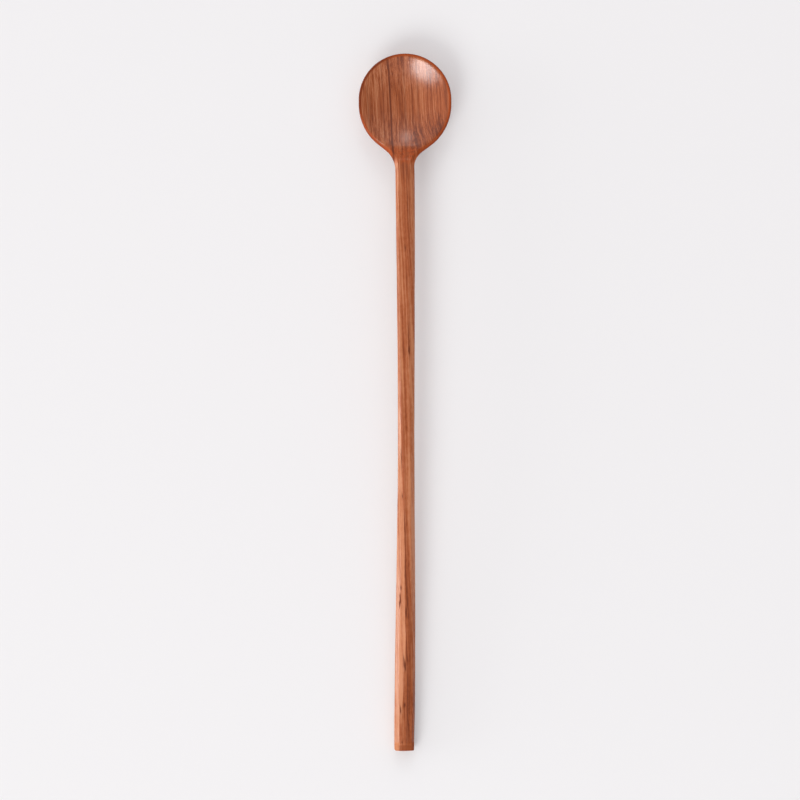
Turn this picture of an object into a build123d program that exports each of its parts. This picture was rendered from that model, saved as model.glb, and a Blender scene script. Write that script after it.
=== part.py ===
from build123d import *

import os
from itertools import pairwise
from math import cos, radians, sin, sqrt, tan

# A long-handled wooden spoon, carved from one piece of wood and lying on a table, bowl up.
#
# The spoon lies along Y, with the bowl's tip at +Y and the handle's butt at -Y. X is across
# it, Z is up, and the table is at z = 0. The origin is on the table under the middle of the
# spoon, which touches the table with the bottom of its bowl and the underside of its butt.
#
# The carver's way is followed. The back of the bowl and the neck are rounded, the handle is
# bevelled to eight flats and bent to a low arch, and the hollow is scooped out last. Every
# cross section has the same eight edges, so the flats of the handle run out in the neck and
# turn into the round back and the upright rim of the bowl.

# The whole spoon
overall_length = 330 * MM

# The bowl: two half rounds with a short straight stretch between them
bowl_width = 43.8 * MM
bowl_stretch = 2.1 * MM
rim_level = 12 * MM
rim_bevel = 0.4 * MM
rim_band = 1.1 * MM
rim_cheek = 1.4 * MM

# The hollow of the bowl
hollow_depth = 6.2 * MM
rim_wall = 1.7 * MM
lip_round = 1.2 * MM
lip_land = 0.6 * MM

# The shoulders of the bowl, seen from above, and the neck that they run into. The top of the
# neck slopes up to the handle over the length of its rise.
shoulder_radius = 24 * MM
shoulder_angle = 52
neck_fillet = 10.5 * MM
neck_rise = 8.5 * MM

# The handle: width, thickness and bevel at four places, and the place of each along it
neck_width = 9.1 * MM
neck_thickness = 8 * MM
neck_bevel = 1.7 * MM
waist_width = 7.9 * MM
waist_thickness = 7.3 * MM
waist_bevel = 1.7 * MM
grip_width = 9.8 * MM
grip_thickness = 8.2 * MM
grip_bevel = 2.5 * MM
butt_width = 9.4 * MM
butt_thickness = 8 * MM
butt_bevel = 2.4 * MM
butt_chamfer = 0.8 * MM
waist_share = 0.45
grip_share = 0.93

# The arch of the handle, seen from the side, and its slight bow, seen from above
crest_level = 12.6 * MM
crest_share = 0.12
handle_bow = 0.75 * MM

# The overrun of the cut that has to pass a surface
overrun = 2 * MM

# A loft through four sections is fair, so the shoulders, the neck and the handle are lofted in
# short stretches of four
station_shares = (0, 1 / 3, 2 / 3, 1)
middle_share = 1 / 2
half_turn = 180


def smooth(share):
    """A share that starts and ends level: 3 s squared less 2 s cubed, held between 0 and 1."""
    held = min(max(share, 0), 1)
    return held * held * (3 - 2 * held)


def between(start, end, share):
    """The value that lies that share of the way from start to end."""
    return start + (end - start) * share


# Places along the spoon
bowl_radius = bowl_width / 2
hollow_radius = bowl_radius - rim_wall
tip_centre = overall_length / 2 - bowl_radius
shoulder_centre = tip_centre - bowl_stretch
butt_end = -overall_length / 2

# The outline from above, as distances behind the shoulder centre: the shoulder's arc, then a
# straight slope at the shoulder's angle, then the hollow arc that eases into the neck
slope = tan(radians(shoulder_angle))
arc_end = shoulder_radius * sin(radians(shoulder_angle))
arc_end_half = bowl_radius - shoulder_radius * (1 - cos(radians(shoulder_angle)))
fillet_start_half = neck_width / 2 + neck_fillet * (1 - cos(radians(shoulder_angle)))
fillet_start = arc_end + (arc_end_half - fillet_start_half) / slope
neck_end = fillet_start + neck_fillet * sin(radians(shoulder_angle))
neck_place = shoulder_centre - neck_end
handle_length = neck_place - butt_end


def outline_half(back):
    """Half the width of the bowl or neck at a distance behind the shoulder centre."""
    if back <= arc_end:
        return bowl_radius - shoulder_radius + sqrt(shoulder_radius**2 - back**2)
    if back <= fillet_start:
        return arc_end_half - (back - arc_end) * slope
    return neck_width / 2 + neck_fillet - sqrt(neck_fillet**2 - (neck_end - back) ** 2)


def centre_level(share):
    """Height of the handle's centre line, a low parabola from its crest down to the butt."""
    drop = crest_level - butt_thickness / 2
    return crest_level - drop * ((share - crest_share) / (1 - crest_share)) ** 2


def along_handle(neck, waist, grip, butt, share):
    """A size of the handle at a share of its length, eased between the four named places."""
    if share <= waist_share:
        return between(neck, waist, smooth(share / waist_share))
    if share <= grip_share:
        return between(waist, grip, smooth((share - waist_share) / (grip_share - waist_share)))
    return between(grip, butt, smooth((share - grip_share) / (1 - grip_share)))


def section(half, top, bottom, bevel, band_foot, cheek, cheek_foot, shift=0):
    """Corners of a cross section, as (x, z), and the point that steers its underside.

    The corners run from the underside's right end up the right side, over the top and down
    the left side. The top is flat, with a bevel at each side of it. An upright band follows,
    down to band_foot, and then a cheek that leans in by its width and reaches down to
    cheek_foot. The underside is a curve between the cheeks that is lowest at the middle.
    """
    right = [
        (half - cheek, cheek_foot),
        (half, band_foot),
        (half, top - bevel),
        (half - bevel, top),
    ]
    left = [(-x, z) for x, z in reversed(right)]
    steer = (shift, 2 * bottom - cheek_foot)
    return [(x + shift, z) for x, z in right + left], steer


def bowl_section(back):
    """The section of the bowl or neck at a distance behind the shoulder centre."""
    share = smooth(back / neck_end)
    half = outline_half(back)
    neck_top = centre_level(0) + neck_thickness / 2
    neck_bottom = centre_level(0) - neck_thickness / 2
    rise_share = (back - arc_end) / neck_rise
    top = between(rim_level, neck_top, smooth(rise_share))
    bottom = between(0, neck_bottom, share)
    bevel = between(rim_bevel, neck_bevel, share)
    cheek = between(rim_cheek, neck_bevel, share)
    rim_foot = top - bevel - rim_band
    band_foot = between(rim_foot, bottom + cheek, share)
    cheek_foot = between(rim_foot - cheek, bottom, share)
    return section(half, top, bottom, bevel, band_foot, cheek, cheek_foot)


def handle_section(share):
    """The section of the handle at a share of its length behind the neck."""
    width = along_handle(neck_width, waist_width, grip_width, butt_width, share)
    thickness = along_handle(neck_thickness, waist_thickness, grip_thickness, butt_thickness, share)
    bevel = along_handle(neck_bevel, waist_bevel, grip_bevel, butt_bevel, share)
    top = centre_level(share) + thickness / 2
    bottom = centre_level(share) - thickness / 2
    shift = handle_bow * (1 - (2 * share - 1) ** 2)
    return section(width / 2, top, bottom, bevel, bottom + bevel, bevel, bottom, shift)


def stations(ends):
    """The places of the sections of one stretch, from one end to the other."""
    return [between(*ends, share) for share in station_shares]


slope_middle = arc_end + neck_rise * middle_share
slope_crest = arc_end + neck_rise
bowl_breaks = (0, arc_end * middle_share, arc_end, slope_middle, slope_crest, neck_end)
handle_break_shares = (0, middle_share, 1)
tip_upright = Axis((0, tip_centre, 0), (0, 0, 1))
shoulder_upright = Axis((0, shoulder_centre, 0), (0, 0, 1))

# Half of the scoop's shape: a round floor, a rounded lip and a narrow land on top of the rim
scoop_sphere = (hollow_radius**2 + hollow_depth**2) / (2 * hollow_depth)
scoop_floor = (0, rim_level - hollow_depth)
lip = (hollow_radius, rim_level)
land_end = hollow_radius + lip_land
scoop_top = rim_level + overrun
with BuildSketch(Plane.XZ.offset(-tip_centre)) as scoop:
    with BuildLine():
        RadiusArc(scoop_floor, lip, -scoop_sphere)
        Polyline(lip, (land_end, rim_level), (land_end, scoop_top), (0, scoop_top), scoop_floor)
    make_face()
    lip_vertex = scoop.vertices().sort_by_distance((*lip, 0))[0]
    fillet(lip_vertex, radius=lip_round)

with BuildPart() as spoon:
    # The tip half of the bowl is turned from the right half of its widest section
    corners, steering = bowl_section(0)
    cheek_foot = corners[0]
    with BuildSketch(Plane.XZ.offset(-tip_centre)):
        with BuildLine():
            Polyline(*corners[:4], (0, rim_level), (0, 0))
            Bezier((0, 0), (cheek_foot[0] / 2, 0), cheek_foot)
        make_face()
    revolve(axis=tip_upright, revolution_arc=half_turn)

    # The straight stretch carries the widest section back to the shoulders
    with BuildSketch(Plane.XZ.offset(-tip_centre)):
        with BuildLine():
            Polyline(*corners)
            Bezier(corners[-1], steering, corners[0])
        make_face()
    extrude(amount=bowl_stretch)

    # The shoulders draw in, and the neck eases into the handle
    for ends in pairwise(bowl_breaks):
        for back in stations(ends):
            corners, steering = bowl_section(back)
            with BuildSketch(Plane.XZ.offset(back - shoulder_centre)):
                with BuildLine():
                    Polyline(*corners)
                    Bezier(corners[-1], steering, corners[0])
                make_face()
        loft()

    # The handle runs from the neck to the butt
    for ends in pairwise(handle_break_shares):
        for share in stations(ends):
            corners, steering = handle_section(share)
            with BuildSketch(Plane.XZ.offset(share * handle_length - neck_place)):
                with BuildLine():
                    Polyline(*corners)
                    Bezier(corners[-1], steering, corners[0])
                make_face()
        loft()
    butt_face = spoon.faces().sort_by(Axis.Y)[0]
    chamfer(butt_face.edges(), length=butt_chamfer)

    # The hollow is scooped out: half a round at the tip, a straight stretch and the other half
    revolve(scoop.sketch, axis=tip_upright, revolution_arc=half_turn, mode=Mode.SUBTRACT)
    for side in (scoop.sketch, mirror(scoop.sketch, about=Plane.YZ, mode=Mode.PRIVATE)):
        extrude(side, amount=bowl_stretch, dir=(0, -1, 0), mode=Mode.SUBTRACT)
    far_scoop = scoop.sketch.moved(Location((0, -bowl_stretch, 0)))
    revolve(far_scoop, axis=shoulder_upright, revolution_arc=-half_turn, mode=Mode.SUBTRACT)

spoon.part.label = "spoon"

os.makedirs("parts", exist_ok=True)
export_step(spoon.part, "parts/spoon.step")
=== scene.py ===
import logging
from dataclasses import dataclass, field
from enum import Enum
from math import cos, pi, radians, sin, tan
from typing import Callable

import bpy
import numpy as np
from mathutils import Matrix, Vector


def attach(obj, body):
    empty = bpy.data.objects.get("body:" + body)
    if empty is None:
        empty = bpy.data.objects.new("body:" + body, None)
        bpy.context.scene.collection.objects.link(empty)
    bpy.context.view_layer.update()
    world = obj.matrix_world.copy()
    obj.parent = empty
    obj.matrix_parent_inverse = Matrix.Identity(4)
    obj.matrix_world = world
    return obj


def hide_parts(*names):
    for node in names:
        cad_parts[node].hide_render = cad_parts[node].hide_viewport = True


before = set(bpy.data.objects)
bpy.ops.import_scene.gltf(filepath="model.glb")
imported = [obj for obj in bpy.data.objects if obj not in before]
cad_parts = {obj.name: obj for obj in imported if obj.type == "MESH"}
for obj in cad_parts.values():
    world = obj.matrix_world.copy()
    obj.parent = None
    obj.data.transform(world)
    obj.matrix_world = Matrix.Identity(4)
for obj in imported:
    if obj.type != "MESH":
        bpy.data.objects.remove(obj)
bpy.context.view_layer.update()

LOG = logging.getLogger("wooden_spoon")
Array = np.ndarray
Values = tuple[float, ...]
Colour = tuple[float, float, float]

# Places that are nearer than this in metres count as the same
ROUNDING = 1e-9


def smooth(share: Array) -> Array:
    """A share held between 0 and 1 that starts and ends level, 3 s squared less 2 s cubed."""
    held = np.clip(share, 0.0, 1.0)
    return held * held * (3.0 - 2.0 * held)


def between(start: Array, end: Array, share: Array) -> Array:
    """The value that lies that share of the way from start to end."""
    return start + (end - start) * share


def shares(steps: int) -> Array:
    """Even shares from 0 to 1, both included, that many steps apart."""
    return np.linspace(0.0, 1.0, steps + 1)


@dataclass(frozen=True)
class Wander:
    """A gentle wander along a line: its main wavelength in metres and the seed of its starts."""

    spacing: float
    seed: int

    def at(self, place: Array) -> Array:
        """The wander, between about -1 and 1, at places in metres.

        The formula is a sum of four sines whose wavelengths are the spacing times 1, 1.7, 0.63
        and 2.9, each with its own start from a seeded generator.
        """
        starts = np.random.default_rng(self.seed).uniform(0.0, 2.0 * pi, 4)
        waves = self.spacing * np.array([1.0, 1.7, 0.63, 2.9])
        sines = np.sin(2.0 * pi * place[..., None] / waves + starts)
        return sines @ np.array([0.4, 0.3, 0.2, 0.3])


@dataclass(frozen=True)
class Fade:
    """A stretch of the neck over which something eases in, from ahead of the handle's start."""

    ahead: float
    length: float

    def at(self, behind: Array) -> Array:
        """A share of 0 to 1 at distances behind the start of the handle, in metres."""
        return smooth((behind + self.ahead) / self.length)


class Side(Enum):
    """The two sides of the spoon, as the sign of x."""

    RIGHT = 1
    LEFT = -1


@dataclass(frozen=True)
class SpoonSizes:
    """The sizes of the spoon in metres, the same as in the part's source.

    The handle's widths, thicknesses and bevels are those at its neck, waist, grip and butt.
    """

    overall_length: float = 0.330
    bowl_width: float = 0.0438
    bowl_stretch: float = 0.0021
    rim_level: float = 0.012
    rim_bevel: float = 0.0004
    rim_band: float = 0.0011
    rim_cheek: float = 0.0014
    hollow_depth: float = 0.0062
    rim_wall: float = 0.0017
    shoulder_radius: float = 0.024
    shoulder_angle: float = radians(52.0)
    neck_fillet: float = 0.0105
    widths: Values = (0.0091, 0.0079, 0.0098, 0.0094)
    thicknesses: Values = (0.008, 0.0073, 0.0082, 0.008)
    bevels: Values = (0.0017, 0.0017, 0.0025, 0.0024)
    waist_share: float = 0.45
    grip_share: float = 0.93
    crest_level: float = 0.0126
    crest_share: float = 0.12
    neck_rise: float = 0.0085
    handle_bow: float = 0.00075

    @property
    def bowl_radius(self) -> float:
        """Half the width of the bowl."""
        return self.bowl_width / 2.0

    @property
    def hollow_radius(self) -> float:
        """Radius of the hollow at the rim."""
        return self.bowl_radius - self.rim_wall

    @property
    def hollow_sphere(self) -> float:
        """Radius of the sphere that the hollow is part of."""
        return (self.hollow_radius**2 + self.hollow_depth**2) / (2.0 * self.hollow_depth)

    @property
    def tip_centre(self) -> float:
        """Place along Y of the centre that the tip half of the bowl is turned about."""
        return self.overall_length / 2.0 - self.bowl_radius

    @property
    def shoulder_centre(self) -> float:
        """Place along Y where the shoulders begin."""
        return self.tip_centre - self.bowl_stretch

    @property
    def butt_end(self) -> float:
        """Place along Y of the butt."""
        return -self.overall_length / 2.0

    @property
    def arc_end(self) -> float:
        """Distance behind the shoulder centre at which the shoulder's arc ends."""
        return self.shoulder_radius * sin(self.shoulder_angle)

    @property
    def arc_end_half(self) -> float:
        """Half width where the shoulder's arc ends."""
        return self.bowl_radius - self.shoulder_radius * (1.0 - cos(self.shoulder_angle))

    @property
    def fillet_start(self) -> float:
        """Distance behind the shoulder centre at which the neck's fillet starts."""
        half = self.widths[0] / 2.0 + self.neck_fillet * (1.0 - cos(self.shoulder_angle))
        return self.arc_end + (self.arc_end_half - half) / tan(self.shoulder_angle)

    @property
    def neck_end(self) -> float:
        """Distance behind the shoulder centre at which the handle starts."""
        return self.fillet_start + self.neck_fillet * sin(self.shoulder_angle)

    @property
    def neck_place(self) -> float:
        """Place along Y at which the handle starts."""
        return self.shoulder_centre - self.neck_end

    @property
    def handle_length(self) -> float:
        """Length of the handle behind the neck."""
        return self.neck_place - self.butt_end


@dataclass(frozen=True)
class KnifeCuts:
    """How the knife left the spoon.

    The top of the handle is two long facets that meet at a ridge, with a bevel on each side.
    The right bevel has a steeper cut under it. Each list has a value for each place along Y:
    the ridge and the bevels in millimetres, and the tilts as slopes. All else is in metres.
    """

    places: Values = (
        -0.165, -0.150, -0.127, -0.110, -0.094, -0.070, -0.056, -0.037, -0.013, 0.025, 0.077, 0.110
    )
    ridge: Values = (-1.2, -1.2, -0.6, 0.3, -0.3, -0.6, -0.6, -0.9, -1.3, -1.0, -0.6, 0.0)
    left_tilt: Values = (0.05, 0.10, 0.38, 0.50, 0.52, 0.52, 0.52, 0.44, 0.24, 0.08, 0.02, 0.0)
    right_tilt: Values = (0.10, 0.10, 0.10, 0.08, 0.06, 0.04, 0.03, 0.02, 0.02, 0.02, 0.02, 0.0)
    left_bevel: Values = (2.3, 2.2, 2.1, 2.1, 2.1, 2.3, 2.4, 2.3, 1.7, 1.1, 1.1, 1.3)
    right_bevel: Values = (3.4, 3.4, 3.1, 2.5, 2.1, 1.9, 1.9, 1.9, 2.1, 2.6, 2.9, 2.6)
    right_cut: float = 0.0011
    right_cut_level: float = 0.58
    right_sink: float = 0.0003
    right_calm: float = 0.6
    cut_share: float = 0.5
    end_calm: float = 0.6
    arris_wander: float = 0.00016
    ridge_wander: float = 0.000256
    side_wander: float = 0.00006
    ridge_wave: Wander = Wander(0.021, 5)
    left_side_wave: Wander = Wander(0.033, 10)
    right_side_wave: Wander = Wander(0.033, 12)
    left_bevel_wave: Wander = Wander(0.017, 21)
    right_bevel_wave: Wander = Wander(0.024, 22)
    left_cheek_wave: Wander = Wander(0.022, 23)
    right_cheek_wave: Wander = Wander(0.019, 24)
    ridge_fade: Fade = Fade(0.0, 0.03)
    ridge_start: Fade = Fade(0.0, 0.02)
    facet_fade: Fade = Fade(0.004, 0.02)
    side_fade: Fade = Fade(0.01, 0.03)
    bevel_fade: Fade = Fade(0.012, 0.02)
    neck_lean: float = 0.0003
    lean_start: float = 0.0195
    lean_length: float = 0.013
    ridge_softness: float = 0.0002
    arris_reach: float = 0.00042
    rim_reach: float = 0.00028
    lip_reach: float = 0.0009
    tip_draw: float = 0.00005
    butt_reach: float = 0.0042
    butt_chamfer: float = 0.0034
    butt_slope: float = 0.34
    butt_crease: float = 0.00010
    butt_round: float = 0.0004
    butt_corner: float = 0.0013
    draw_share: float = 0.8

    def end_turn(self, away: Array, reach: float) -> Array:
        """How far a quarter round of that reach has drawn in, 1 at the end and 0 past its reach."""
        left = np.clip(1.0 - away / reach, 0.0, 1.0)
        return 1.0 - np.sqrt(1.0 - left**2)

    def end_slope(self, away: Array) -> Array:
        """Depth of the slope cut on top of the butt, at distances from its end.

        The formula is the slope times the chamfer's length less the distance, held above 0,
        with a crease softened by a hyperbola.
        """
        past = self.butt_chamfer - away
        return self.butt_slope * (np.hypot(past, self.butt_crease) + past) / 2.0

    def along(self, values: Values, places: Array) -> Array:
        """A list's value at other places along Y, on straight lines between its own."""
        return np.interp(places, np.array(self.places), np.array(values))


@dataclass
class Skin:
    """Grids of points that are sewn into one closed skin."""

    points: list[Array] = field(default_factory=list)
    quads: list[Array] = field(default_factory=list)
    insets: list[Array] = field(default_factory=list)
    count: int = 0
    weld: float = 2e-7

    def add(self, grid: Array, inset: Array) -> None:
        """Adds a grid of points, whose neighbours along both ways become quads.

        Args:
            grid: Points as rows, columns and x, y, z.
            inset: Distance of each point from the outline, which becomes the mark inset.
        """
        rows, columns = grid.shape[:2]
        index = self.count + np.arange(rows * columns).reshape(rows, columns)
        corners = (index[:-1, :-1], index[1:, :-1], index[1:, 1:], index[:-1, 1:])
        self.quads.append(np.stack(corners, axis=-1).reshape(-1, 4))
        self.points.append(grid.reshape(-1, 3))
        self.insets.append(inset.reshape(-1))
        self.count += rows * columns

    def sew(self, name: str) -> bpy.types.Object:
        """Joins points in the same place, drops faces that have closed up and makes the mesh.

        Args:
            name: Name of the object.

        Returns:
            The object, at the origin and smooth shaded, with its insets as an attribute.
        """
        points = np.concatenate(self.points)
        quads = np.concatenate(self.quads)
        keys = np.round(points / self.weld).astype(np.int64)
        _, first, which = np.unique(keys, axis=0, return_index=True, return_inverse=True)
        quads = which.reshape(-1)[quads]
        following = np.roll(quads, -1, axis=1)
        kept = quads != following
        whole = quads[kept.all(axis=1)]
        whole = whole[(whole[:, 0] != whole[:, 2]) & (whole[:, 1] != whole[:, 3])]
        closed = kept.sum(axis=1) == 3
        thirds = quads[closed][kept[closed]].reshape(-1, 3)
        welded = points[first]
        volume = self.volume(welded, whole, thirds)
        if volume < 0.0:
            whole = whole[:, ::-1]
            thirds = thirds[:, ::-1]
            volume = -volume
        mesh = bpy.data.meshes.new(name)
        mesh.from_pydata(welded.tolist(), [], whole.tolist() + thirds.tolist())
        mesh.shade_smooth()
        attribute = mesh.attributes.new("inset", "FLOAT", "POINT")
        attribute.data.foreach_set("value", np.concatenate(self.insets)[first].astype(np.float32))
        mesh.validate()
        made = bpy.data.objects.new(name, mesh)
        bpy.context.scene.collection.objects.link(made)
        triangles = 2 * len(whole) + len(thirds)
        counts = (len(welded), triangles, volume * 1e9)
        LOG.info("%s: %d points, %d triangles, %.0f cubic mm", name, *counts)
        return made

    @staticmethod
    def volume(points: Array, quads: Array, thirds: Array) -> float:
        """Volume inside the faces, a sixth of the sum of each triangle's triple product."""
        triangles = np.concatenate([quads[:, [0, 1, 2]], quads[:, [0, 2, 3]], thirds])
        a, b, c = (points[triangles[:, corner]] for corner in range(3))
        return float(np.einsum("ij,ij->i", a, np.cross(b, c)).sum() / 6.0)


@dataclass
class Spoon:
    """The whole spoon, one piece of wood: bowl, neck and handle."""

    sizes: SpoonSizes = field(default_factory=SpoonSizes)
    cuts: KnifeCuts = field(default_factory=KnifeCuts)
    handle_step: float = 0.0011
    neck_step: float = 0.0002
    shoulder_steps: int = 64
    stretch_steps: int = 5
    loop_back: float = 0.0235
    loop_margin: float = 0.0002
    lean_length: float = 0.022
    sphere_share: float = 1.08
    lip_share: float = 0.86
    fan_steps: int = 140
    butt_steps: int = 26
    butt_crowding: float = 1.6
    loop_crowding: float = 0.4
    land_steps: int = 20
    lip_steps: int = 14
    floor_steps: int = 30
    under_steps: int = 16
    corner_steps: int = 5
    straight_steps: int = 2
    cap_steps: int = 6
    corner_share: float = 0.45
    probe_share: float = 1.5

    def outline_half(self, back: Array) -> Array:
        """Half width at distances behind the shoulder centre.

        The formula is the shoulder's arc, then a straight slope, then the neck's fillet, and
        the full half width ahead of the shoulders.
        """
        s = self.sizes
        held = np.clip(back, 0.0, s.neck_end)
        deep = np.sqrt(np.maximum(s.shoulder_radius**2 - held**2, 0.0))
        arc = s.bowl_radius - s.shoulder_radius + deep
        slope = s.arc_end_half - (held - s.arc_end) * tan(s.shoulder_angle)
        reach = np.clip(s.neck_end - held, 0.0, s.neck_fillet)
        fillet = s.widths[0] / 2.0 + s.neck_fillet - np.sqrt(s.neck_fillet**2 - reach**2)
        return np.where(held <= s.arc_end, arc, np.where(held <= s.fillet_start, slope, fillet))

    def centre_level(self, share: Array) -> Array:
        """Height of the handle's centre line, a parabola from its crest down to the butt."""
        s = self.sizes
        drop = s.crest_level - s.thicknesses[-1] / 2.0
        return s.crest_level - drop * ((share - s.crest_share) / (1.0 - s.crest_share)) ** 2

    def along_handle(self, four: Values, share: Array) -> Array:
        """A size of the handle, eased between its values at neck, waist, grip and butt."""
        s = self.sizes
        neck, waist, grip, butt = four
        first = between(neck, waist, smooth(share / s.waist_share))
        second = between(waist, grip, smooth((share - s.waist_share) / (s.grip_share - s.waist_share)))
        third = between(grip, butt, smooth((share - s.grip_share) / (1.0 - s.grip_share)))
        return np.where(share <= s.waist_share, first, np.where(share <= s.grip_share, second, third))

    def levels(self, along: Array) -> dict[str, Array]:
        """Sizes of the cross section at places along Y.

        In the handle they come from its four places and its arch. In the neck each eases from
        the rim's value to the handle's by the smooth share of the neck's length, and the top
        rises only behind the shoulder's arc. The neck leans a little to the left, by the
        square of a sine.

        Args:
            along: Places along Y, in metres.

        Returns:
            Arrays named half, shift, top, bottom, bevel, cheek, band_foot and cheek_foot.
        """
        s, cuts = self.sizes, self.cuts
        back = s.shoulder_centre - along
        in_handle = back >= s.neck_end
        share = np.clip((s.neck_place - along) / s.handle_length, 0.0, 1.0)
        ease = smooth(back / s.neck_end)
        rise = smooth((back - s.arc_end) / s.neck_rise)
        width = self.along_handle(s.widths, share)
        half_thickness = self.along_handle(s.thicknesses, share) / 2.0
        facet = self.along_handle(s.bevels, share)
        centre = self.centre_level(share)
        top = between(s.rim_level, centre + half_thickness, rise)
        bottom = ease * (centre - half_thickness)
        bevel = between(s.rim_bevel, facet, ease)
        cheek = between(s.rim_cheek, facet, ease)
        rim_foot = top - bevel - s.rim_band
        swing = np.clip((back - cuts.lean_start) / cuts.lean_length, 0.0, 1.0)
        lean = -cuts.neck_lean * np.sin(pi * swing) ** 2
        return {
            "half": np.where(in_handle, width / 2.0, self.outline_half(back)),
            "shift": s.handle_bow * (1.0 - (2.0 * share - 1.0) ** 2) * in_handle + lean,
            "top": top,
            "bottom": bottom,
            "bevel": bevel,
            "cheek": cheek,
            "band_foot": between(rim_foot, bottom + cheek, ease),
            "cheek_foot": between(rim_foot - cheek, bottom, ease),
        }

    def ridge(self, along: Array) -> Array:
        """Place across of the ridge on top of the handle, with the knife's wander."""
        cuts = self.cuts
        across = cuts.along(cuts.ridge, along) * 0.001
        fade = cuts.ridge_fade.at(self.sizes.neck_place - along)
        wander = cuts.ridge_wander * cuts.ridge_wave.at(along) * fade
        return self.levels(along)["shift"] + across + wander

    def top_height(self, across: Array, along: Array) -> Array:
        """Height of the upper surface at places seen from above.

        The top is a level that follows the cross sections, less a soft roof whose two slopes
        meet at the ridge. The hollow is a sphere about the nearest point of the bowl's short
        centre line, and runs on as a cone beyond the rim. The upper surface is the lower of
        the two, with the corner between them rounded by a parabola over the lip's reach.

        Args:
            across: Places along X, in metres.
            along: Places along Y, in metres.

        Returns:
            Heights along Z, in metres.
        """
        s, cuts = self.sizes, self.cuts
        levels = self.levels(along)
        fade = cuts.facet_fade.at(s.neck_place - along)
        left = cuts.along(cuts.left_tilt, along) * fade
        right = cuts.along(cuts.right_tilt, along) * fade
        away = across - self.ridge(along)
        blunt = np.hypot(away, cuts.ridge_softness) - cuts.ridge_softness
        roof = right * (blunt + away) / 2.0 + left * (blunt - away) / 2.0
        top = levels["top"] - np.maximum(roof, 0.0)
        centre = np.clip(along, s.shoulder_centre, s.tip_centre)
        reach = np.hypot(across, along - centre)
        limit = self.sphere_share * s.hollow_radius
        held = np.minimum(reach, limit)
        floor = s.rim_level - s.hollow_depth + s.hollow_sphere
        steep = limit / np.sqrt(s.hollow_sphere**2 - limit**2)
        bowl = floor - np.sqrt(s.hollow_sphere**2 - held**2) + steep * (reach - held)
        near = np.maximum(cuts.lip_reach - np.abs(top - bowl), 0.0)
        return np.minimum(top, bowl) - near**2 / (4.0 * cuts.lip_reach)

    def stations(self) -> Array:
        """Places along Y of the outline's points, from the butt to the start of the fan.

        They close up at the butt and where the lip's loop begins, since the loop goes round
        quickest there.
        """
        s, cuts = self.sizes, self.cuts
        spread = shares(self.butt_steps - 1) ** self.butt_crowding
        butt = s.butt_end + cuts.butt_reach * spread
        handle_count = int((s.neck_place - butt[-1]) / self.handle_step)
        handle = np.linspace(butt[-1], s.neck_place, handle_count + 1)[1:]
        neck_count = int((self.loop_start - s.neck_place) / self.neck_step)
        neck = np.linspace(s.neck_place, self.loop_start, neck_count + 1)[1:]
        share = shares(self.shoulder_steps)[1:]
        share = (1.0 - self.loop_crowding) * share + self.loop_crowding * share**2
        shoulder = self.loop_start + self.loop_back * share
        stretch = np.linspace(s.shoulder_centre, s.tip_centre, self.stretch_steps + 1)[1:]
        return np.concatenate([butt, handle, neck, shoulder, stretch])

    @property
    def loop_radius(self) -> float:
        """Distance from the bowl's centre line of the loop that bounds the lip's grid."""
        return self.sizes.hollow_radius + self.loop_margin

    @property
    def loop_start(self) -> float:
        """Place along Y of the outline's first points whose rows end on the loop."""
        return self.sizes.shoulder_centre - self.loop_back

    def inner_points(self, side: Side, along: Array) -> Array:
        """Inner ends of the upper surface's rows on one side, as x and y.

        In the shoulders they go round the loop at the outline point's own angle, stretched to
        end on the middle line. Behind it they follow the ridge, and their rows, which lean
        forward there, are straight across by the handle.

        Args:
            side: Side of the spoon.
            along: Places along Y of the rows.

        Returns:
            Points as rows of x and y.
        """
        s = self.sizes
        back = s.shoulder_centre - along
        angle = np.arctan2(back, self.outline_half(back))
        last = np.arctan2(self.loop_back, self.outline_half(np.array(self.loop_back)))
        stretch = (pi / 2.0 / last - 1.0) * np.clip(back / self.loop_back, 0.0, 1.0) ** 2
        angle = angle * (1.0 + stretch)
        behind = back >= self.loop_back - ROUNDING
        lean = 1.0 - smooth((self.loop_start - along) / self.lean_length)
        inner = along + (self.loop_back - self.loop_radius) * lean
        shoulders = (back > 0.0) & ~behind
        x = side.value * self.loop_radius * np.cos(np.where(shoulders, angle, 0.0))
        y = np.where(shoulders, s.shoulder_centre - self.loop_radius * np.sin(angle), along)
        ridge = self.ridge(inner) * self.cuts.ridge_start.at(s.neck_place - inner)
        return np.stack([np.where(behind, ridge, x), np.where(behind, inner, y)], axis=-1)

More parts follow.
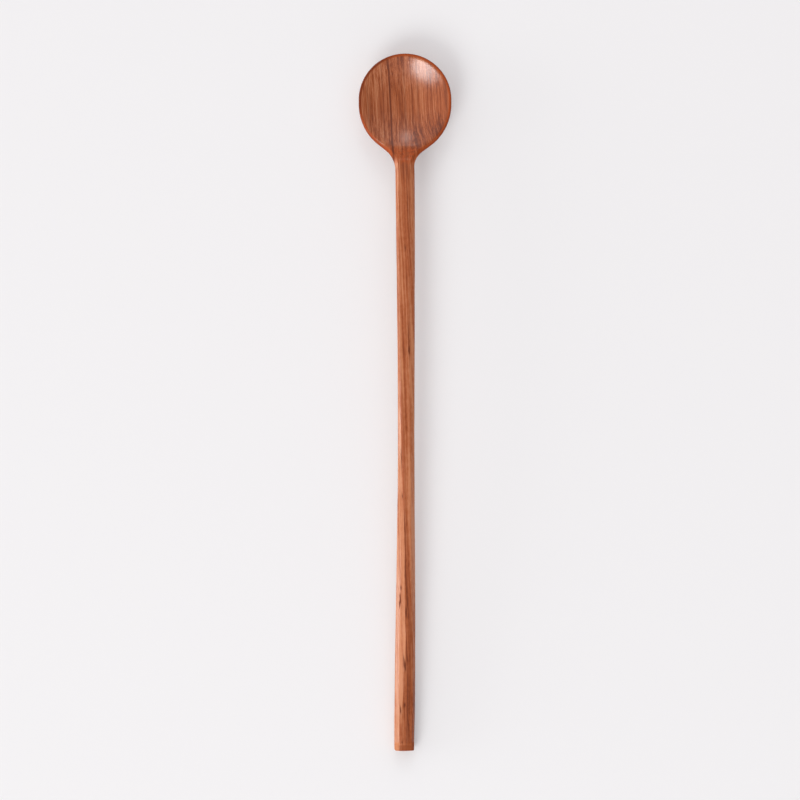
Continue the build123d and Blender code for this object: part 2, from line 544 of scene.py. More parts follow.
    def outline(self) -> tuple[Array, ...]:
        """The whole outline as seen from above, from the butt round the tip and back.

        Returns:
            Outline points, their outward normals, the inner points and two flags, true for
            the rows ahead of the handle and for those that end on the lip's loop.
        """
        s, cuts = self.sizes, self.cuts
        along = self.stations()
        levels = self.levels(along)
        fade = cuts.side_fade.at(s.neck_place - along)
        waves = {Side.RIGHT: cuts.right_side_wave, Side.LEFT: cuts.left_side_wave}
        corners = {Side.RIGHT: cuts.butt_round, Side.LEFT: cuts.butt_corner}
        sides = {}
        for side in Side:
            wobble = cuts.side_wander * waves[side].at(along) * fade
            corner = corners[side]
            draw = cuts.draw_share * corner * cuts.end_turn(along - s.butt_end, corner)
            x = levels["shift"] + side.value * (levels["half"] - draw + np.minimum(wobble, 0.0))
            sides[side] = np.stack([x, along], axis=-1)
        turn = np.linspace(0.0, pi, self.fan_steps + 1)[1:-1]
        ring = np.stack([np.cos(turn), np.sin(turn)], axis=-1)
        centre = np.array([0.0, s.tip_centre])
        reach = np.array([s.bowl_radius, s.bowl_radius - cuts.tip_draw])
        outer = np.concatenate([sides[Side.RIGHT], centre + reach * ring, sides[Side.LEFT][::-1]])
        right, left = (self.inner_points(side, along) for side in (Side.RIGHT, Side.LEFT))
        inward = np.concatenate([right, centre + self.loop_radius * ring, left[::-1]])
        path = np.gradient(outer, axis=0)
        normal = np.stack([path[:, 1], -path[:, 0]], axis=-1)
        straight = outer[:, 1] < s.butt_end + cuts.butt_reach
        flat = np.stack([np.sign(outer[:, 0]), np.zeros(len(outer))], axis=-1)
        normal = np.where(straight[:, None], flat, normal)
        normal /= np.linalg.norm(normal, axis=1, keepdims=True)
        in_bowl = outer[:, 1] >= s.neck_place - ROUNDING
        on_loop = outer[:, 1] >= self.loop_start - ROUNDING
        return outer, normal, inward, in_bowl, on_loop

    @staticmethod
    def round_corner(before: Array, corner: Array, after: Array, count: int) -> Array:
        """A rounded corner, the quadratic curve from before to after steered by the corner."""
        t = shares(count - 1)[None, :, None]
        bent = (1.0 - t) ** 2 * before[:, None] + 2.0 * t * (1.0 - t) * corner[:, None]
        return bent + t**2 * after[:, None]

    def toward(self, start: Array, end: Array, distance: Array) -> Array:
        """Points at a distance from start towards end, but always short of the middle."""
        gap = end - start
        part = np.minimum(distance / np.linalg.norm(gap, axis=1), self.corner_share)
        return start + gap * part[:, None]

    def straight(self, start: Array, end: Array) -> Array:
        """Evenly spaced points between start and end, without either."""
        share = shares(self.straight_steps + 1)[1:-1][None, :, None]
        return start[:, None] + (end - start)[:, None] * share

    def underside(self, middle: Array, foot: Array) -> Array:
        """Points under the spoon, whose heights go with the distance from the middle squared.

        Args:
            middle: The point of the middle line that each row starts at.
            foot: The foot of each row's cheek.

        Returns:
            Points as rows, columns and x, y, z.
        """
        t = shares(self.under_steps)
        gap = (foot - middle)[:, None]
        run = middle[:, None, :2] + gap[..., :2] * t[None, :, None]
        rise = middle[:, None, 2] + gap[..., 2] * t[None, :] ** 2
        return np.concatenate([run, rise[..., None]], axis=2)

    def rows(self) -> tuple[Array, Array, Array, Array]:
        """Every row of the skin but the hollow's, from the bottom's middle to its inner end.

        A row goes along a cross section: a parabola under the spoon, the cheek, the upright
        band, the bevel in two cuts, and then over the top to the ridge or to the lip's loop.
        The corners between them are rounded by quadratic curves, and heights on top come from
        top_height. The top's slope at the bevel is run on to find the height of their arris.

        Returns:
            The grid of points, the distance of each from the outline as seen from above, and
            the outline and flag of the rows that end on the lip's loop.
        """
        s, cuts = self.sizes, self.cuts
        outer, normal, inward, in_bowl, on_loop = self.outline()
        along = np.minimum(outer[:, 1], s.tip_centre)
        levels = self.levels(along)
        in_handle = cuts.bevel_fade.at(s.neck_place - along)
        left = outer[:, 0] < 0.0
        turned = cuts.end_turn(outer[:, 1] - s.butt_end, cuts.butt_round)
        lift = cuts.butt_round * turned
        drop = cuts.end_slope(outer[:, 1] - s.butt_end) + lift

        def by_side(on_left: Array | float, on_right: Array | float) -> Array:
            """One value for the rows of the left side and another for those of the right."""
            return np.where(left, on_left, on_right)

        def at_inset(inset: Array, height: Array) -> Array:
            """Points at an inset from the outline along its normal, at a height."""
            return np.concatenate([outer - normal * inset[:, None], height[:, None]], axis=1)

        def top_at(inset: Array) -> Array:
            """Heights of the top at an inset from the outline along its normal."""
            plan = outer - normal * inset[:, None]
            return self.top_height(plan[:, 0], plan[:, 1]) - drop

        wide = by_side(cuts.along(cuts.left_bevel, along), cuts.along(cuts.right_bevel, along))
        wide = wide * 0.001
        calm_wave = cuts.right_calm * cuts.right_bevel_wave.at(along)
        wave = by_side(cuts.left_bevel_wave.at(along), calm_wave)
        bevel = between(levels["bevel"], wide, in_handle) + cuts.arris_wander * wave * in_handle
        bevel = bevel - cuts.draw_share * lift
        half_cut = cuts.cut_share * bevel
        lower = by_side(half_cut, between(half_cut, cuts.right_cut, in_handle))
        sink = by_side(0.0, cuts.right_sink) * in_handle
        wave = by_side(cuts.left_cheek_wave.at(along), cuts.right_cheek_wave.at(along))
        cheek = levels["cheek"] + wave * cuts.arris_wander * in_handle - cuts.draw_share * lift
        reach = between(cuts.rim_reach, cuts.arris_reach, in_handle) * (1.0 - cuts.end_calm * turned)

        over = top_at(bevel + reach)
        further = top_at(bevel + reach * self.probe_share)
        arris = over - (further - over) / (self.probe_share - 1.0)
        under_arris = arris + drop - cuts.draw_share * levels["bevel"]
        band_top = np.minimum(under_arris, levels["top"] - levels["bevel"])
        band_top = band_top - by_side(lift, drop) - sink
        part = lower / bevel
        cut_share = by_side(part, between(part, cuts.right_cut_level, in_handle))
        none = np.zeros(len(outer))
        corners = [
            at_inset(cheek, levels["cheek_foot"] + lift),
            at_inset(none, levels["band_foot"] + lift),
            at_inset(none, band_top),
            at_inset(lower, between(band_top, arris, cut_share)),
            at_inset(bevel, arris),
        ]
        edge = at_inset(bevel + reach, over)

        foot = corners[0]
        shared = np.minimum((foot[:, 1] + foot[::-1, 1]) / 2.0, s.tip_centre)
        bottom = np.where(in_bowl, self.levels(shared)["bottom"], levels["bottom"]) + lift
        under = self.underside(np.stack([levels["shift"], shared, bottom], axis=1), foot)
        bits = [under[:, :-2]]
        start, end = under[:, -2], self.toward(foot, corners[1], reach)
        bits.append(self.round_corner(start, foot, end, self.corner_steps))
        for before, corner, after in zip(corners, corners[1:], corners[2:]):
            start, end = self.toward(corner, before, reach), self.toward(corner, after, reach)
            bits.append(self.straight(bits[-1][:, -1], start))
            bits.append(self.round_corner(start, corner, end, self.corner_steps))
        start = self.toward(corners[4], corners[3], reach)
        bits.append(self.straight(bits[-1][:, -1], start))
        bits.append(self.round_corner(start, corners[4], edge, self.corner_steps + 1))

        t = shares(self.land_steps)[1:]
        eased = np.stack([t, 1.0 - (1.0 - t) ** 2], axis=-1)
        plan = edge[:, None, :2] + (inward - edge[:, :2])[:, None] * eased
        height = self.top_height(plan[..., 0], plan[..., 1]) - drop[:, None]
        bits.append(np.concatenate([plan, height[..., None]], axis=2))
        grid = np.concatenate(bits, axis=1)
        inset = np.linalg.norm(grid[..., :2] - outer[:, None], axis=2)
        return grid, inset, outer[on_loop], on_loop

    def build(self) -> bpy.types.Object:
        """Makes the skin of the whole spoon and sews it.

        The hollow's grid is the lip's loop drawn in to the middle of the bowl in rings, with
        heights from top_height. The butt is closed by its last ring drawn in to its middle.

        Returns:
            The spoon's object.
        """
        s = self.sizes
        grid, inset, outline, on_loop = self.rows()
        skin = Skin()
        skin.add(grid, inset)
        loop = grid[on_loop, -1]
        middle = np.array([0.0, (s.tip_centre + s.shoulder_centre) / 2.0])
        lip = np.linspace(1.0, self.lip_share, self.lip_steps + 1)
        floor = np.linspace(self.lip_share, 0.0, self.floor_steps + 1)[1:]
        rings = np.concatenate([lip, floor])
        plan = middle + (loop[:, None, :2] - middle) * rings[None, :, None]
        height = self.top_height(plan[..., 0], plan[..., 1])
        height[:, 0] = loop[:, 2]
        hollow = np.concatenate([plan, height[..., None]], axis=2)
        skin.add(hollow, np.linalg.norm(plan - outline[:, None], axis=2))
        ring = np.concatenate([grid[0], grid[-1][::-1]])
        centre = ring.mean(axis=0)
        closing = np.linspace(1.0, 0.0, self.cap_steps + 1)[None, :, None]
        cap = centre + (ring[:, None] - centre) * closing
        skin.add(cap, np.zeros(cap.shape[:2]))
        made = skin.sew("carved_spoon")
        self.mark_cuts(made)
        return made

    def mark_cuts(self, made: bpy.types.Object) -> None:
        """Marks the points for the wood: end_grain, off_ridge and lateral.

        End grain is the size of the normal's y. Off ridge is the distance to the right of the
        handle's ridge in millimetres. Lateral is the share of the half width, from -1 at the
        left edge to 1 at the right.
        """
        count = len(made.data.vertices)
        normals, points = np.zeros(count * 3, np.float32), np.zeros(count * 3, np.float32)
        made.data.vertex_normals.foreach_get("vector", normals)
        made.data.vertices.foreach_get("co", points)
        x, y = points.reshape(-1, 3)[:, 0], points.reshape(-1, 3)[:, 1]
        levels = self.levels(y)
        marks = {
            "end_grain": np.abs(normals.reshape(-1, 3)[:, 1]),
            "off_ridge": (x - self.ridge(y)) * 1000.0,
            "lateral": (x - levels["shift"]) / levels["half"],
        }
        for name, values in marks.items():
            attribute = made.data.attributes.new(name, "FLOAT", "POINT")
            attribute.data.foreach_set("value", values.astype(np.float32))


def operation(name: str, turned: bool = False) -> Callable[["Wire", "Wire | float"], "Wire"]:
    """A method that puts a Math node on a wire and another value, or on the two turned about."""

    def apply(self: "Wire", other: "Wire | float") -> "Wire":
        """The operation's result."""
        return self.board.maths(name, *((other, self) if turned else (self, other)))

    return apply


@dataclass(frozen=True)
class Wire:
    """A node's output that can stand in a sum, as a number does."""

    board: "Board"
    socket: bpy.types.NodeSocket

    __add__ = operation("ADD")
    __radd__ = operation("ADD", turned=True)
    __sub__ = operation("SUBTRACT")
    __rsub__ = operation("SUBTRACT", turned=True)
    __mul__ = operation("MULTIPLY")
    __rmul__ = operation("MULTIPLY", turned=True)
    __truediv__ = operation("DIVIDE")
    __rtruediv__ = operation("DIVIDE", turned=True)


@dataclass
class Board:
    """The node tree of a material or the world, written to in sums and calls."""

    tree: bpy.types.NodeTree

    @classmethod
    def empty(cls, owner: bpy.types.Material | bpy.types.World) -> "Board":
        """The board of a new material or world, cleared of the nodes that it comes with."""
        owner.use_nodes = True
        owner.node_tree.nodes.clear()
        return cls(owner.node_tree)

    def node(
        self,
        kind: str,
        settings: dict[str, object] | None = None,
        inputs: dict[object, object] | None = None,
    ) -> bpy.types.Node:
        """Adds a node.

        Args:
            kind: The node's type.
            settings: Its settings by name, set first. "stops" gives a ramp's places and colours.
            inputs: Values or wires for its sockets, by name or number.

        Returns:
            The new node.
        """
        made = self.tree.nodes.new(kind)
        for name, value in (settings or {}).items():
            if name == "stops":
                ramp = made.color_ramp
                while len(ramp.elements) < len(value):
                    ramp.elements.new(0.5)
                for element, (place, colour) in zip(ramp.elements, value):
                    element.position = place
                    element.color = (*colour, 1.0)
            else:
                setattr(made, name, value)
        for name, value in (inputs or {}).items():
            if isinstance(value, Wire):
                self.tree.links.new(value.socket, made.inputs[name])
            else:
                made.inputs[name].default_value = value
        return made

    def wire(self, node: bpy.types.Node, output: object = 0) -> Wire:
        """One output of a node as a wire."""
        return Wire(self, node.outputs[output])

    def parts(self, vector: Wire) -> tuple[Wire, Wire, Wire]:
        """The x, y and z of a vector."""
        split = self.node("ShaderNodeSeparateXYZ", None, {0: vector})
        return self.wire(split, 0), self.wire(split, 1), self.wire(split, 2)

    def vector(self, x: Wire, y: Wire, z: Wire) -> Wire:
        """Three values joined to a vector."""
        return self.wire(self.node("ShaderNodeCombineXYZ", None, {0: x, 1: y, 2: z}))

    def mark(self, name: str) -> Wire:
        """A mark of the mesh's points, by its name."""
        return self.wire(self.node("ShaderNodeAttribute", {"attribute_name": name}), "Fac")

    def maths(self, name: str, *values: Wire | float) -> Wire:
        """A Math node on one or two values."""
        return self.wire(self.node("ShaderNodeMath", {"operation": name}, dict(enumerate(values))))

    def blend(self, share: Wire, first: Wire | Colour, second: Wire | Colour) -> Wire:
        """Two colours mixed by a share."""
        sides = [side if isinstance(side, Wire) else (*side, 1.0) for side in (first, second)]
        inputs = {0: share, 6: sides[0], 7: sides[1]}
        return self.wire(self.node("ShaderNodeMix", {"data_type": "RGBA"}, inputs), 2)

    def step(self, value: Wire, low: float, high: float) -> Wire:
        """A smooth step, 0 at low and 1 at high, whichever of the two is the greater."""
        span = {"Value": value, "From Min": low, "From Max": high}
        return self.wire(self.node("ShaderNodeMapRange", {"interpolation_type": "SMOOTHSTEP"}, span))

    def bell(self, value: Wire, middle: float, width: float) -> Wire:
        """A bell curve round the middle, e to the minus square of the distance over the width."""
        away = (value - middle) * (1.0 / width)
        return self.maths("EXPONENT", -1.0 * (away * away))

    def surface(self, inputs: dict[str, object]) -> Wire:
        """A Principled surface."""
        return self.wire(self.node("ShaderNodeBsdfPrincipled", None, inputs))

    def finish(self, share: Wire, first: Wire, second: Wire) -> None:
        """Gives the material two surfaces mixed by a share."""
        mixed = self.node("ShaderNodeMixShader", None, {0: share, 1: first, 2: second})
        self.node("ShaderNodeOutputMaterial", None, {0: self.wire(mixed)})


@dataclass(frozen=True)
class Vein:
    """A dark or light line of the grain: its place across the bowl, width and strength, in mm."""

    across: float
    width: float
    strength: float


@dataclass(frozen=True)
class Fleck:
    """A short dark streak in the handle, by its place, half length and half width, in mm."""

    across: float
    along: float
    length: float
    width: float
    strength: float


@dataclass(frozen=True)
class OiledTeak:
    """Reddish brown, straight grained hardwood, rubbed with oil to a satin."""

    dark: Colour = (0.135, 0.026, 0.007)
    brown: Colour = (0.255, 0.058, 0.015)
    red: Colour = (0.375, 0.092, 0.026)
    pale: Colour = (0.550, 0.212, 0.096)
    edge: Colour = (0.340, 0.060, 0.011)
    # Painted shade: the rim's darker colour on its upper left side.
    rim_shade_edge: Colour = (0.185, 0.030, 0.005)
    slope: Colour = (0.440, 0.082, 0.016)
    end: Colour = (0.300, 0.072, 0.020)
    veins: tuple[Vein, ...] = tuple(
        Vein(*row)
        for row in (
            (-17.5, 0.38, 0.30), (-10.4, 0.32, 0.30), (-7.0, 0.42, 0.75), (-2.4, 0.28, 0.30),
            (-0.3, 0.55, 0.45), (3.3, 0.30, 0.25), (5.9, 0.35, 0.35), (12.7, 0.30, 0.22),
            (15.6, 0.40, 0.30), (19.8, 0.40, 0.35),
        )
    )
    light_veins: tuple[Vein, ...] = tuple(
        Vein(*row)
        for row in (
            (-20.0, 3.4, 0.22), (-13.8, 3.2, 0.42), (-9.6, 1.4, 0.20), (8.0, 2.0, 0.15),
            (17.0, 4.0, -0.16), (4.9, 0.35, 0.5), (9.5, 1.6, 0.3),
        )
    )
    flecks: tuple[Fleck, ...] = tuple(
        Fleck(*row)
        for row in (
            (1.2, 94.0, 13.0, 0.22, 0.75), (0.2, 73.0, 1.4, 0.45, 0.7), (1.0, 58.5, 3.0, 0.3, 0.4),
            (1.9, 30.0, 9.0, 0.36, 0.8), (2.0, 24.6, 1.6, 0.35, 0.9), (-1.5, -26.0, 5.0, 0.25, 0.9),
            (-1.0, -44.0, 1.2, 0.35, 0.9), (0.1, -59.0, 8.0, 0.28, 0.9), (0.4, -80.5, 5.5, 0.3, 0.9),
            (-1.7, -87.5, 0.9, 0.26, 1.6), (-2.0, -92.2, 1.8, 0.20, 2.2), (-2.2, -95.2, 1.4, 0.22, 2.0),
            (-1.7, -94.0, 1.0, 0.14, 1.4), (1.1, -91.0, 4.0, 0.18, 1.2), (0.8, -98.8, 2.3, 0.26, 2.2),
            (-0.2, -122.5, 2.6, 0.26, 1.5), (0.5, -124.5, 2.2, 0.3, 1.6), (1.3, -121.0, 1.8, 0.26, 1.2),
            (0.1, -143.0, 1.0, 0.5, 1.2), (-1.7, -145.3, 1.8, 0.28, 1.3),
            (-0.9, -160.7, 0.6, 0.35, 1.0),
        )
    )
    # Strengths in facets() of the painted light on the left bevel, left roof facet and right bevel, and
    # of the painted shade right of the ridge.
    painted_left_light: float = 0.21
    painted_top_light: float = 0.20
    painted_right_light: float = 0.26
    painted_shade_top: float = 0.17
    painted_shade_butt: float = 0.26
    handle_lift: float = 0.16
    rim_tint: float = 1.05
    lean: float = 0.035
    bowl_lean: float = 0.023
    roughness: float = 0.24
    shine: float = 0.43
    bare_roughness: float = 0.7
    bare_shine: float = 0.12
    bump: float = 0.15
    bump_depth: float = 0.00012

    def dress(self, piece: bpy.types.Object) -> None:
        """Makes the wood and gives it to a piece, oiled and in places bare.

        Args:
            piece: The object to dress, whose mesh has the marks inset, end_grain, off_ridge
                and lateral.
        """
        material = bpy.data.materials.new("oiled_teak")
        board = Board.empty(material)
        wood = Pattern(board, self)
        relief = {"Strength": self.bump, "Distance": self.bump_depth, "Height": wood.relief()}
        bump = board.wire(board.node("ShaderNodeBump", None, relief))
        common = {"Base Color": wood.colour(), "Normal": bump}
        rough = self.roughness + (wood.fine - 0.5) * 0.12 + wood.cut_across * 0.16
        oiled = board.surface({**common, "Roughness": rough, "Specular IOR Level": self.shine})
        bare_look = {"Roughness": self.bare_roughness, "Specular IOR Level": self.bare_shine}
        board.finish(wood.bareness(), oiled, board.surface({**common, **bare_look}))
        piece.data.materials.clear()
        piece.data.materials.append(material)
        LOG.info("%s: dressed in oiled teak with %d nodes", piece.name, len(board.tree.nodes))


class Pattern:
    """The pattern of the wood as wires.

    Places are in millimetres. Noises are between 0 and 1 with their middle near 0.5, and most
    of them are stretched along the grain.
    """

    def __init__(self, board: Board, wood: OiledTeak) -> None:
        """Makes the wires that several parts of the pattern share.

        The grain's coordinate runs across the growth rings: x, plus a lean along y that grows
        beyond the neck, less a drift at the lower right of the bowl, plus a slow wander. It
        starts from 0 near the middle of the bowl.

        Args:
            board: The board of the material.
            wood: The wood's colours, sizes and strengths.
        """
        self.board = board
        self.wood = wood
        place = board.wire(board.node("ShaderNodeTexCoord"), "Object")
        to_mm = board.node("ShaderNodeVectorMath", {"operation": "SCALE"}, {0: place, "Scale": 1000.0})
        self.x, self.y, self.z = x, y, z = board.parts(board.wire(to_mm))
        self.inset = 1000.0 * board.mark("inset")
        self.lateral = board.mark("lateral")
        self.off_ridge = board.mark("off_ridge")
        self.handle = board.step(y, 110.0, 100.0)

        past_neck = y - 110.0
        beyond = board.maths("SQRT", past_neck * past_neck + 100.0) * 0.5 + past_neck * 0.5
        drift = board.step(x, 0.5, 9.0) * board.step(y, 135.0, 119.0) * 2.6
        wander = self.noise(x, (0.05, 0.014, 0.05), 2.0) * 2.4
        start = 142.9 * wood.lean + 33.6 * wood.bowl_lean + 1.2
        self.grain = x + y * wood.lean + beyond * wood.bowl_lean - drift + wander - start
        self.stripe = self.noise(self.grain, (1.5, 0.014, 0.3), 3.0, 0.6)
        self.fine = self.noise(self.grain, (5.5, 0.05, 1.2), 3.0, 0.6)
        self.fibre = self.noise(self.grain, (14.0, 0.30, 5.0), 2.0, 0.6)
        self.blotch = self.noise(x, (0.20, 0.09, 0.2), 2.0)
        self.mottle = self.noise(x, (0.7, 0.5, 0.7), 2.0)
        self.ragged = self.noise(self.grain, (1.2, 0.35, 1.0), 3.0) * 0.5 - 0.25

        streak = board.step(self.noise(self.grain, (0.8, 0.05, 0.1), 2.0), 0.28, 0.62)
        self.veins = self.bells(wood.veins) * (0.50 + 0.80 * streak) * (1.0 - 0.75 * self.handle)
        self.flecks = self.streaks(wood.flecks)
        self.pores = self.dots()
        self.rim = board.step(self.inset, 1.60, 0.85) * board.step(y, 114.0, 121.0)
        self.high = board.step(z, 8.0, 11.0)
        self.cut_across = board.step(board.mark("end_grain"), 0.55, 0.98)
        butt = board.step(y, -161.9, -162.5) * board.step(self.lateral, -0.62, -0.42)
        self.end = board.maths("MAXIMUM", self.cut_across, butt)

    def noise(self, across: Wire, scales: Values, detail: float, rough: float = 0.5) -> Wire:
        """Noise at a place across, y and z, each times its scale."""
        place = self.board.vector(across * scales[0], self.y * scales[1], self.z * scales[2])
        inputs = {"Vector": place, "Scale": 1.0, "Detail": detail, "Roughness": rough}
        return self.board.wire(self.board.node("ShaderNodeTexNoise", None, inputs))

    def bells(self, veins: tuple[Vein, ...]) -> Wire:
        """The sum of bell curves across the grain, one for each vein."""
        place = self.grain + self.ragged
        bells = [self.board.bell(place, vein.across, vein.width) * vein.strength for vein in veins]
        return sum(bells[1:], bells[0])

    def streaks(self, flecks: tuple[Fleck, ...]) -> Wire:
        """The sum of bell curves across the grain times bell curves along it, one for each fleck."""
        slant = self.wood.lean * 0.9
        place = self.x + self.y * slant + self.ragged
        marks = []
        for fleck in flecks:
            near = self.board.bell(place, fleck.across + fleck.along * slant, fleck.width)
            marks.append(near * self.board.bell(self.y, fleck.along, fleck.length) * fleck.strength)
        return sum(marks[1:], marks[0])

    def dots(self) -> Wire:
        """Pores at the middles of cells stretched along the grain, crowded in places."""
        place = self.board.vector(self.grain * 1.9, self.y * 0.16, self.z * 1.9)
        cells = self.board.node("ShaderNodeTexVoronoi", None, {"Vector": place, "Scale": 1.0})
        crowd = self.board.step(self.noise(self.grain, (0.9, 0.03, 0.3), 2.0), 0.40, 0.66)
        return self.board.step(self.board.wire(cells, "Distance"), 0.24, 0.10) * crowd

    def tone(self) -> Wire:
        """The lightness of the wood, each noise less its middle and weighted."""
        broad = self.noise(self.grain, (0.42, 0.006, 0.08), 3.0, 0.62)
        tone = 0.5 + (self.mottle - 0.5) * (0.10 + 0.25 * self.handle)
        tone = tone + (broad - 0.5) * 1.1 + (self.stripe - 0.5) * 1.5
        tone = tone + (self.fine - 0.5) * (1.6 - 0.9 * self.handle) + (self.fibre - 0.5) * 0.6
        lift = self.board.step(self.y, 112.0, 102.0) * self.wood.handle_lift
        return tone + (self.blotch - 0.5) * 0.25 + lift + self.bells(self.wood.light_veins) * 0.5

    def facets(self) -> Wire:
        """Painted light and shade on the handle's facets: painted light on the bevels, the right of the
        neck and the left roof facet, a painted highlight at the butt's crease and a painted glint on
        the neck's left flare; painted shade right of the ridge and at the low right of the hollow; and
        darker on the top towards the butt.
        """
        board, wood, y, lateral = self.board, self.wood, self.y, self.lateral
        raised = board.step(self.z, 2.0, 6.0)
        stretch = board.step(y, 5.0, -35.0) - board.step(y, -55.0, -95.0) * 0.9
        # Painted light: the left bevel, which faces the lamps, made paler, by stretches along the
        # handle.
        left = board.step(lateral, -0.42, -0.58) * raised * wood.painted_left_light * stretch
        # Painted light: the right bevel behind the neck made paler, standing in for light from the
        # right.
        right = board.step(lateral, 0.42, 0.62) * board.step(y, 119.0, 112.0) * raised * wood.painted_right_light
        # Painted light: the right side of the neck made paler.
        neck = board.step(lateral, 0.62, 0.86) * board.bell(y, 107.0, 11.0) * 0.30
        # Painted shade: the facet right of the ridge, which tilts away from the lamps, made darker in
        # the lower handle and near the butt.
        top = board.step(y, -50.0, -85.0) * wood.painted_shade_top
        butt = board.step(y, -118.0, -150.0) * wood.painted_shade_butt
        dark = board.step(self.off_ridge, -0.10, 0.15) * (top + butt)
        left_of_ridge = board.step(self.off_ridge, 0.10, -0.12)
        # Also darker on the top near the butt end, more so left of the ridge.
        grip_end = board.step(y, -143.0, -156.0) * board.step(lateral, -0.58, -0.46)
        dark = dark + grip_end * (0.11 + 0.14 * left_of_ridge)
        # Painted shade: the lower right wall of the hollow made darker.
        dark = dark + board.step(self.x, 1.0, 9.0) * board.step(y, 139.0, 126.0) * 0.26
        # Painted light: the left roof facet, which tilts towards the lamps, made paler in the middle of
        # the handle.
        tan = left_of_ridge * board.step(lateral, -0.66, -0.5) * wood.painted_top_light
        tan = tan * board.step(y, -30.0, -55.0) * board.step(y, -150.0, -132.0)
        # Painted highlight: a pale line along the butt's crease.
        crease = board.bell(y, -161.6, 0.4) * board.step(lateral, -0.5, -0.3) * 0.10
        # Painted glint: a pale spot on the neck's left flare.
        painted_glint = board.bell(self.x, -4.1, 0.55) * board.bell(y, 112.4, 1.7) * 0.9
        return left + right + neck + tan + crease + painted_glint - dark

    def colour(self) -> Wire:
        """The colour: tones with the painted light and shade from facets(), then the neck's slope, the
        dark marks, end grain, and the rim with painted shade on its upper left side and along its outer
        edge.
        """
        board, wood, x, y = self.board, self.wood, self.x, self.y
        stops = ((0.0, wood.dark), (0.32, wood.brown), (0.54, wood.red), (1.0, wood.pale))
        tones = board.node("ShaderNodeValToRGB", {"stops": stops}, {0: self.tone() + self.facets()})
        slope = board.step(y, 111.5, 115.0) * self.high
        slope = slope * board.step(y + 3.0 * (self.mottle - 0.5), 122.6, 118.6)
        patches = 0.10 + 0.75 * board.step(self.mottle, 0.36, 0.64)
        colour = board.blend(slope * patches, board.wire(tones), wood.slope)
        # A dark line along the handle just right of its middle, in the lower handle.
        handle_dark_line = board.bell(self.lateral, 0.262, 0.040) * board.step(y, -118.0, -134.0) * 0.80
        # A dark slanting line near the left edge of the neck's slope.
        neck_dark_line = board.bell(x + (y - 117.0) * 0.10, -5.3, 0.42) * self.high * 0.8
        neck_dark_line = neck_dark_line * board.step(y, 112.5, 115.5) * board.step(y, 124.0, 120.0)
        marks = self.veins + self.pores * 0.35 + self.flecks + handle_dark_line + neck_dark_line
        colour = board.blend(board.maths("MINIMUM", marks, 0.95), colour, wood.dark)
        colour = board.blend(self.end * 0.75, colour, wood.end)
        # Painted shade: the rim made darker on its upper left side.
        rim_shade_side = board.step(x, -2.0, -12.0) * board.step(y, 132.0, 142.0)
        edge = board.blend(rim_shade_side, wood.edge, wood.rim_shade_edge)
        colour = board.blend(self.rim * (wood.rim_tint - 0.2 * self.blotch), colour, edge)
        # Painted shade: a darker line along the rim's outer edge.
        rim_edge_shade = self.rim * board.step(self.inset, 0.50, 0.15)
        return board.blend(rim_edge_shade * 0.35, colour, wood.dark)

    def relief(self) -> Wire:
        """Height of the grain for the bump, with the dark marks sunk."""
        raised = self.fibre * 0.08 + self.fine * 0.25 + self.stripe * 0.45
        return raised - self.pores * 0.40 - self.flecks * 0.40 - self.veins * 0.25

    def bareness(self) -> Wire:
        """How bare the wood is of oil: at the rim, the neck's slope, the marks and the butt."""
        board, y = self.board, self.y
        slope = board.step(y, 112.0, 115.0) * board.step(y, 122.2, 120.8) * self.high * 0.8
        butt = board.maths("MAXIMUM", self.end, board.step(y, -160.4, -161.2)) * 0.9
        marks = self.flecks * 1.2 + self.pores * 0.25
        return board.maths("MINIMUM", self.rim * 0.9 + slope + marks + butt, 1.0)


@dataclass(frozen=True)
class Lamp:
    """A soft lamp over the table, placed by its direction from the spoon.

    Bearing is measured from +Y towards +X, and lift is the angle above the table. The light
    that falls squarely on the spoon is strength times that which makes a white surface white.
    A lamp that is gloss_only is seen in reflections and gives no other light.
    """

    name: str
    bearing: float
    lift: float
    distance: float
    width: float
    height: float
    strength: float
    colour: Colour = (1.0, 1.0, 1.0)
    gloss_only: bool = False

    def place(self) -> None:
        """Makes the lamp, facing the origin."""
        turn, lift = radians(self.bearing), radians(self.lift)
        way = Vector((sin(turn) * cos(lift), cos(turn) * cos(lift), sin(lift)))
        data = bpy.data.lights.new(self.name, "AREA")
        data.shape = "ELLIPSE"
        data.size, data.size_y = self.width, self.height
        data.energy = self.strength * (pi * self.distance) ** 2
        data.color = self.colour
        lamp = bpy.data.objects.new(self.name, data)
        lamp.visible_camera = False
        lamp.visible_diffuse = not self.gloss_only
        lamp.location = way * self.distance
        lamp.rotation_euler = (-way).to_track_quat("-Z", "Y").to_euler()
        bpy.context.scene.collection.objects.link(lamp)
        LOG.info("%s: lamp at bearing %.0f, lift %.0f", self.name, self.bearing, self.lift)


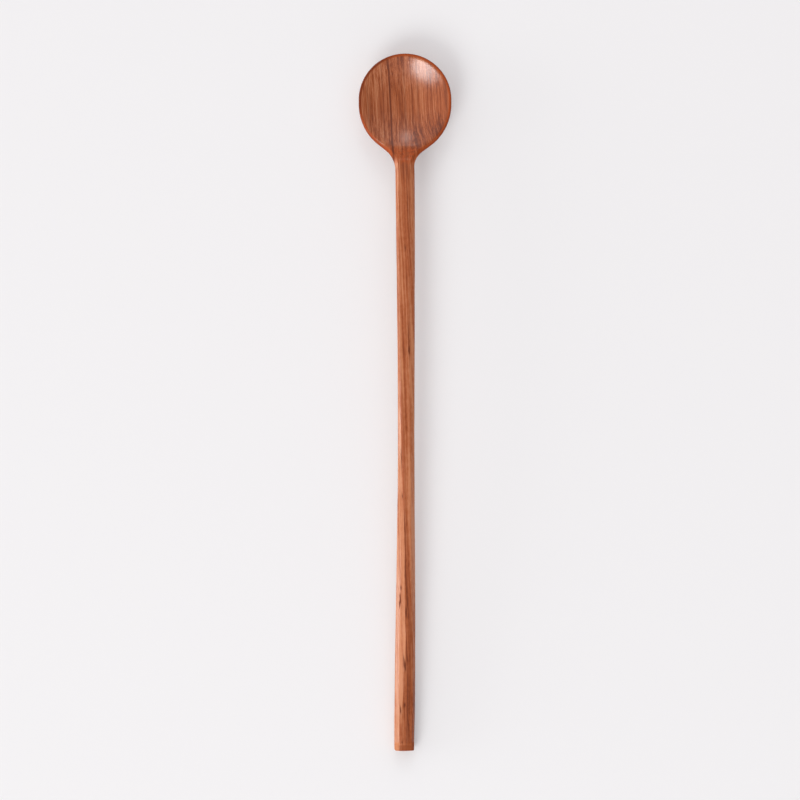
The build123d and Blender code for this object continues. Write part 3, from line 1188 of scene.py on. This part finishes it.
@dataclass(frozen=True)
class Studio:
    """The pale table, the soft light over it and the camera above the spoon.

    The sky is a base, plus a gain towards one side and another along Y, all dimmed overhead.
    The table is mixed with its own pale light by the share paleness, but only as the camera
    and reflections see it, so that it lights nothing.
    """

    table_reach: float = 3.0
    table_turns: int = 96
    table_rings: int = 8
    table_crowding: float = 1.5
    table_colour: Colour = (0.842, 0.850, 0.855)
    pale_colour: Colour = (0.900, 0.886, 0.900)
    paleness: float = 0.28
    table_roughness: float = 0.9
    table_shine: float = 0.2
    sky_base: float = 0.20
    sky_gain: float = 0.62
    sky_side: Values = (-0.46, 0.30, 0.84)
    sky_along: float = 0.90
    sky_dim: float = 0.40
    sky_dim_span: Values = (0.82, 0.97)
    sky_colour: Colour = (1.0, 0.950, 0.962)
    lamps: tuple[Lamp, ...] = (
        Lamp("window", 212.0, 39.0, 4.5, 2.4, 2.4, 0.425, (0.985, 1.0, 0.996)),
        Lamp("gleam", 220.0, 37.0, 4.5, 3.4, 3.0, 0.95, gloss_only=True),
        Lamp("left_panel", 268.0, 8.0, 4.0, 3.0, 1.3, 0.32),
        Lamp("far_fill", 358.0, 34.0, 4.0, 0.9, 1.3, 0.075),
    )
    camera_place: Values = (-0.0022, 0.0013, 1.612)
    camera_turn: float = radians(0.075)
    camera_lens: float = 152.5

    def build(self) -> None:
        """Lays the table, hangs the lamps, sets the sky and the camera."""
        self.lay_table()
        for lamp in self.lamps:
            lamp.place()
        world = bpy.data.worlds.new("studio")
        bpy.context.scene.world = world
        board = Board.empty(world)
        x, y, z = board.parts(board.wire(board.node("ShaderNodeTexCoord"), "Generated"))
        toward = self.sky_side[0] * x + self.sky_side[1] * y + self.sky_side[2] * z
        dim = 1.0 - board.step(z, *self.sky_dim_span) * self.sky_dim
        along = y * y * self.sky_along
        glow = (self.sky_base + board.maths("MAXIMUM", toward, 0.0) * self.sky_gain + along) * dim
        sky = board.node("ShaderNodeBackground", None, {0: (*self.sky_colour, 1.0), 1: glow})
        board.node("ShaderNodeOutputWorld", None, {0: board.wire(sky)})
        data = bpy.data.cameras.new("camera")
        data.sensor_width = 36.0
        data.lens = self.camera_lens
        data.clip_end = 50.0
        camera = bpy.data.objects.new("camera", data)
        camera.location = self.camera_place
        camera.rotation_euler = (0.0, 0.0, self.camera_turn)
        bpy.context.scene.collection.objects.link(camera)
        bpy.context.scene.camera = camera
        bpy.context.scene.view_settings.view_transform = "Standard"

    def lay_table(self) -> None:
        """Makes the table top, a disc of rings about the origin, radius times cosine and sine."""
        turn = np.linspace(0.0, 2.0 * pi, self.table_turns + 1)
        reach = shares(self.table_rings) ** self.table_crowding
        reach = self.table_reach * reach
        flat = np.stack([np.outer(np.cos(turn), reach), np.outer(np.sin(turn), reach)], axis=-1)
        top = np.concatenate([flat, np.zeros((*flat.shape[:2], 1))], axis=2)
        skin = Skin()
        skin.add(top, np.zeros(top.shape[:2]))
        table = skin.sew("table")
        material = bpy.data.materials.new("matt_card")
        board = Board.empty(material)
        look = {"Roughness": self.table_roughness, "Specular IOR Level": self.table_shine}
        card = board.surface({"Base Color": (*self.table_colour, 1.0), **look})
        rays = board.node("ShaderNodeLightPath")
        by_camera, by_gloss = (board.wire(rays, f"Is {kind} Ray") for kind in ("Camera", "Glossy"))
        seen = board.maths("MAXIMUM", by_camera, by_gloss)
        pale = board.node("ShaderNodeEmission", None, {0: (*self.pale_colour, 1.0), 1: 1.0})
        board.finish(seen * self.paleness, card, board.wire(pale))
        table.data.materials.append(material)


def main() -> None:
    logging.basicConfig(level=logging.INFO, format="%(name)s %(message)s")
    spoon = Spoon()
    carved = spoon.build()
    OiledTeak().dress(carved)
    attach(carved, "root")
    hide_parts("spoon")
    Studio().build()


if __name__ == "__main__":
    main()
